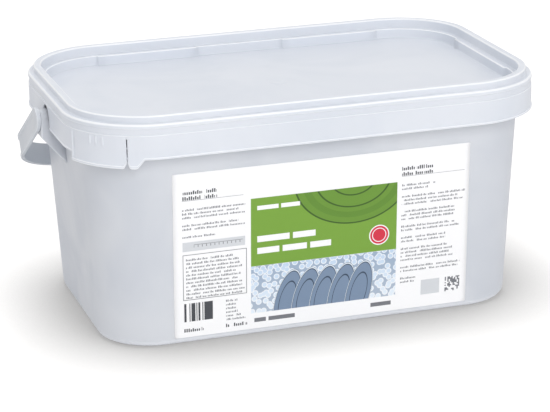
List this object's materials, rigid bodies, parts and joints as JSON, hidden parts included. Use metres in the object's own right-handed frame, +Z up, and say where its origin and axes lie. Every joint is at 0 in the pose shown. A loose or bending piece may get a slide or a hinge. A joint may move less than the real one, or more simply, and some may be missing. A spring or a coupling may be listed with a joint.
{
  "type": "dishwasher tablet tub",
  "caption": "Rectangular white plastic tub with a press-on lid, a tear tab at one corner, a swinging strap bail and a flat front label.",
  "frame": {"origin": "centre of the base, on the surface that the tub stands on", "axes": "+X along the long side, -Y out of the labelled front, +Z up"},
  "size_m": [0.3116, 0.1902, 0.148],
  "materials": {
    "tub_plastic": "white moulded polypropylene, slightly cloudy, satin",
    "lid_plastic": "white moulded polypropylene, slightly cloudy, satin",
    "bail_plastic": "white moulded polypropylene, satin",
    "label_film": "printed white film, fields of colour only"
  },
  "bodies": {
    "tub": {"tub": "tub_plastic", "front_label": "label_film"},
    "lid": {"lid": "lid_plastic"},
    "bail": {"bail_handle": "bail_plastic"}
  },
  "joints": [
    {"name": "lid_lift", "type": "slide", "parent": "tub", "child": "lid", "axis": [0, 0, 1], "range_m": [0, 0.2]},
    {"name": "bail_swing", "type": "hinge", "parent": "tub", "child": "bail", "pos_m": [0, 0, 0.1273], "axis": [1, 0, 0], "range_deg": [0, 240]}
  ]
}
